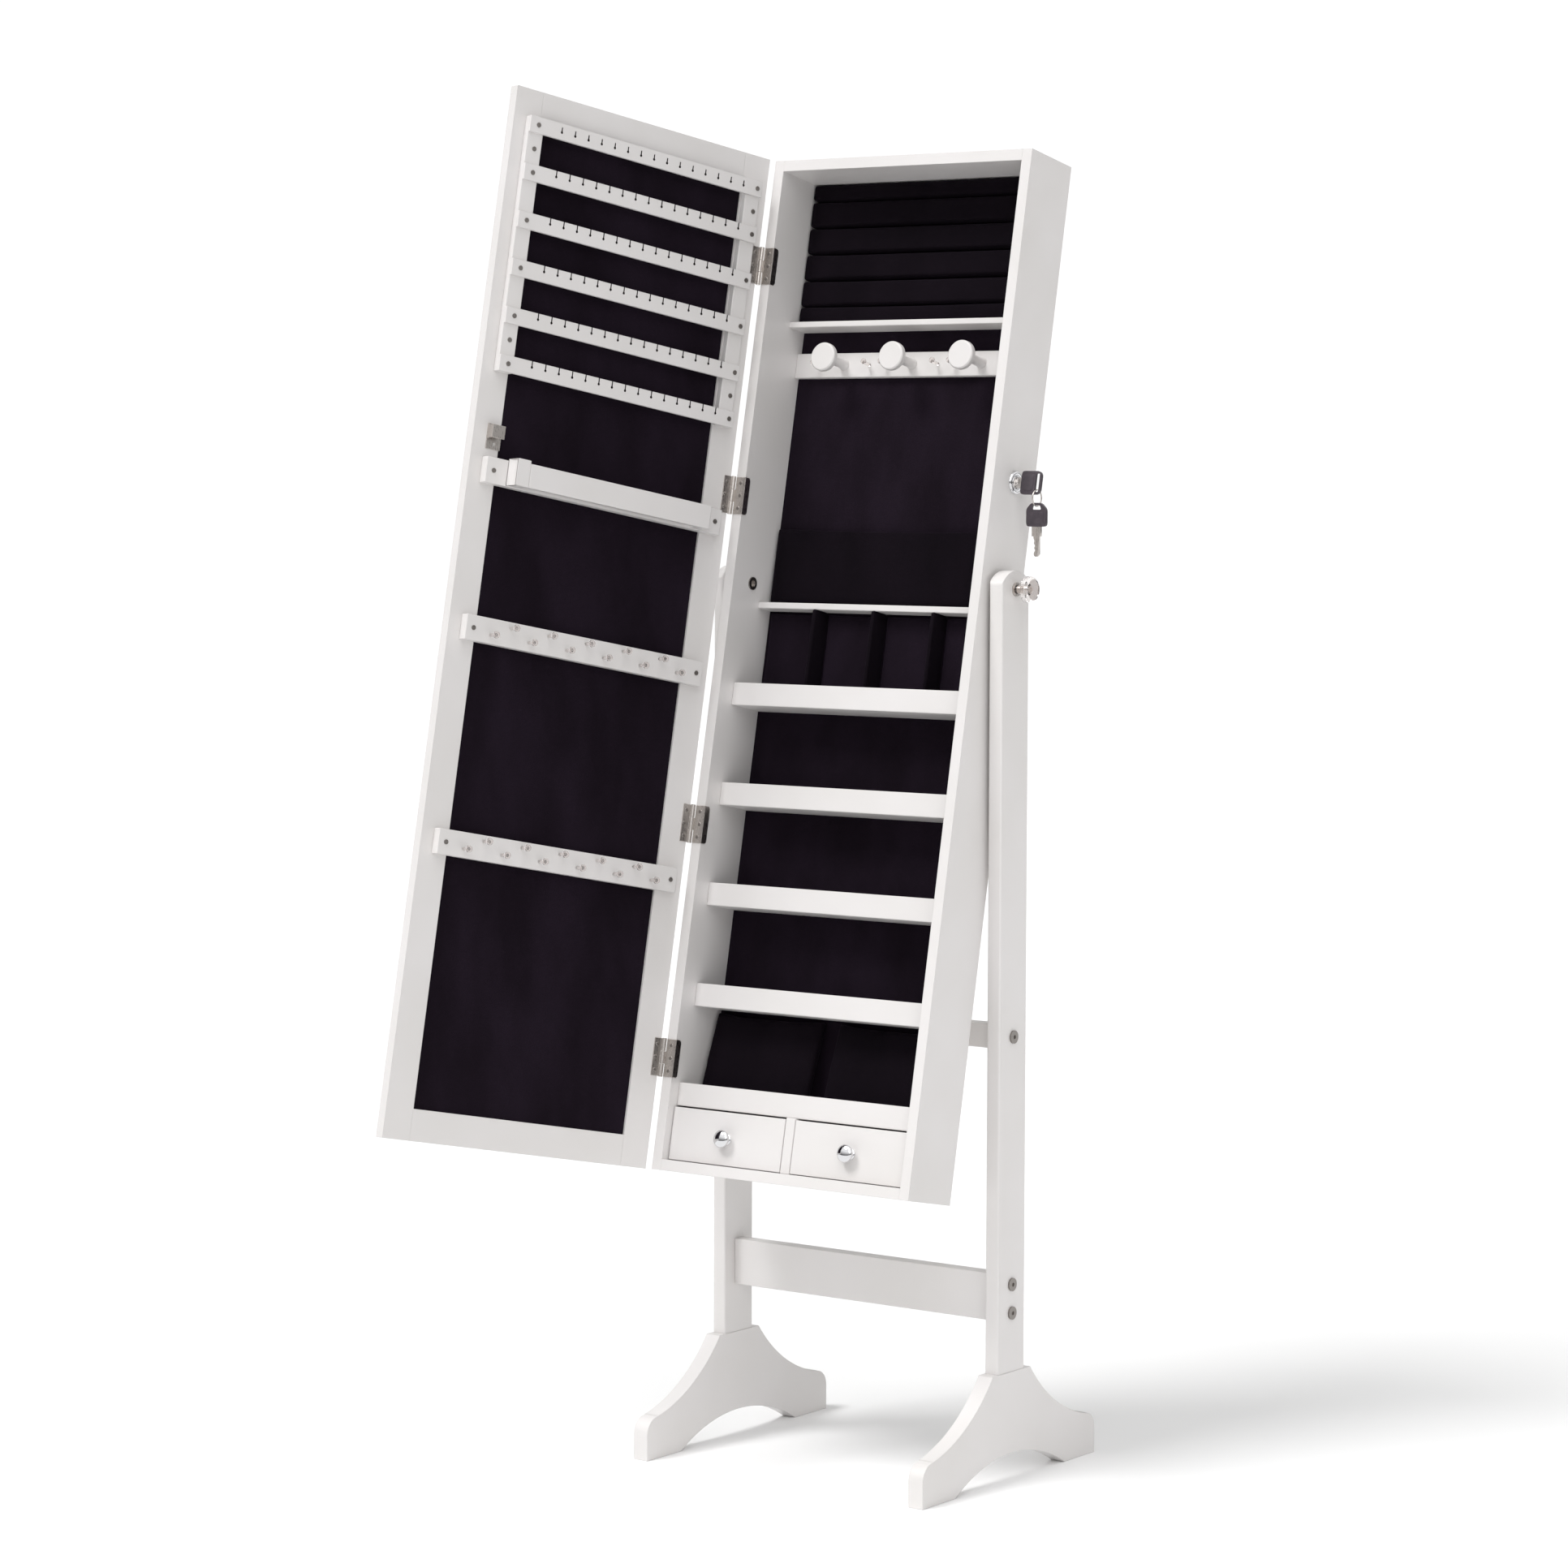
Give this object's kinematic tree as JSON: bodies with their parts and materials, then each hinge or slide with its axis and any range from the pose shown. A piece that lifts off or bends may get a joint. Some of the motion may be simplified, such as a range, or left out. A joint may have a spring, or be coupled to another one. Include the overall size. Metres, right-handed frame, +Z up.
{
  "type": "cheval floor mirror",
  "caption": "Free-standing tilting jewellery cabinet on a two-footed stand, with a mirrored door standing open, velvet-lined shelves, racks on the door and drawers.",
  "frame": {"origin": "on the floor, under the middle of the whole part at rest with the door open; the stand's own middle, under the tilt axis, is at x 0.0380, y 0.1706", "axes": "+X to the right of someone facing the front, -Y the way the front faces, +Z up"},
  "size_m": [0.5322, 0.6982, 1.5912],
  "materials": {
    "white_paint": "satin white paint",
    "black_velvet": "short pile",
    "mirror_glass": "polished",
    "satin_nickel": "satin nickel plate",
    "chrome": "polished",
    "clear_acrylic": "clear polished",
    "white_nylon": "satin",
    "dowel_wood": "raw beech",
    "key_plastic": "fine grain"
  },
  "bodies": {
    "stand": {"upright_left": "white_paint", "upright_right": "white_paint", "foot_left": "white_paint", "foot_right": "white_paint", "lower_stretcher": "white_paint", "upper_stretcher": "white_paint", "stand_bolts": "satin_nickel", "foot_dowels": "dowel_wood", "pivot_spacers": "white_nylon"},
    "left_knob": {"tilt_knob_left": "clear_acrylic", "tilt_stud_left": "satin_nickel", "tilt_washer_left": "satin_nickel"},
    "right_knob": {"tilt_knob_right": "clear_acrylic", "tilt_stud_right": "satin_nickel", "tilt_washer_right": "satin_nickel"},
    "door": {"door_stiles": "white_paint", "door_rails": "white_paint", "mirror_glass": "mirror_glass", "door_panel": "black_velvet", "door_hinge_leaves": "satin_nickel", "rack_uprights": "white_paint", "rack_bars": "white_paint", "bracelet_board": "white_paint", "bracelet_blocks": "white_paint", "bracelet_bar": "white_paint", "peg_rails": "white_paint", "pegs": "clear_acrylic", "strike": "satin_nickel", "fitting_screws": "satin_nickel"},
    "left_drawer": {"drawer_left": "white_paint", "drawer_pull_left": "chrome"},
    "right_drawer": {"drawer_right": "white_paint", "drawer_pull_right": "chrome"},
    "lock_core": {"lock_plug": "satin_nickel", "lock_cam": "satin_nickel", "key": "key_plastic"},
    "ring": {"key_ring": "satin_nickel"},
    "hanging_key": {"spare_key": "key_plastic"},
    "cabinet": {"cabinet_side_left": "white_paint", "cabinet_side_right": "white_paint", "cabinet_top": "white_paint", "cabinet_bottom": "white_paint", "back_panel": "white_paint", "back_lining": "black_velvet", "ring_cushion": "black_velvet", "thin_shelves": "white_paint", "shelf_boards": "white_paint", "shelf_lips": "white_paint", "drawer_divider": "white_paint", "hook_rail": "white_paint", "round_knobs": "white_paint", "chain_hooks": "clear_acrylic", "pocket": "black_velvet", "compartment_dividers": "black_velvet", "compartment_pads": "black_velvet", "earring_cushions": "black_velvet", "pivot_inserts": "satin_nickel", "cabinet_hinge_leaves": "satin_nickel", "hinge_pins": "satin_nickel", "lock_body": "chrome"}
  },
  "joints": [
    {"name": "cabinet_tilt", "type": "hinge", "parent": "stand", "child": "cabinet", "pos_m": [0.03802, 0.17061, 1.0215], "axis": [-1, 0, 0], "range_deg": [-4.9, 15]},
    {"name": "left_knob_turn", "type": "hinge", "parent": "cabinet", "child": "left_knob", "pos_m": [-0.16628, 0.17061, 1.0215], "axis": [-1, 0, 0], "continuous": true},
    {"name": "right_knob_turn", "type": "hinge", "parent": "cabinet", "child": "right_knob", "pos_m": [0.24232, 0.17061, 1.0215], "axis": [1, 0, 0], "continuous": true},
    {"name": "door_swing", "type": "hinge", "parent": "cabinet", "child": "door", "pos_m": [-0.14588, 0.13121, 1.02947], "axis": [0, -0.1983, -0.9801], "range_deg": [-106.9, 33]},
    {"name": "left_drawer_slide", "type": "slide", "parent": "cabinet", "child": "left_drawer", "axis": [0, -0.9801, 0.1983], "range_m": [0, 0.045]},
    {"name": "right_drawer_slide", "type": "slide", "parent": "cabinet", "child": "right_drawer", "axis": [0, -0.9801, 0.1983], "range_m": [0, 0.045]},
    {"name": "lock_turn", "type": "hinge", "parent": "cabinet", "child": "lock_core", "pos_m": [0.21952, 0.20207, 1.14165], "axis": [1, 0, 0], "range_deg": [0, 90]},
    {"name": "ring_swing", "type": "hinge", "parent": "lock_core", "child": "ring", "pos_m": [0.25032, 0.20046, 1.13371], "axis": [1, 0, 0], "range_deg": [-25, 17]},
    {"name": "hanging_key_swing", "type": "hinge", "parent": "ring", "child": "hanging_key", "pos_m": [0.25032, 0.20046, 1.11531], "axis": [0, 1, 0], "range_deg": [-30, 20]}
  ]
}
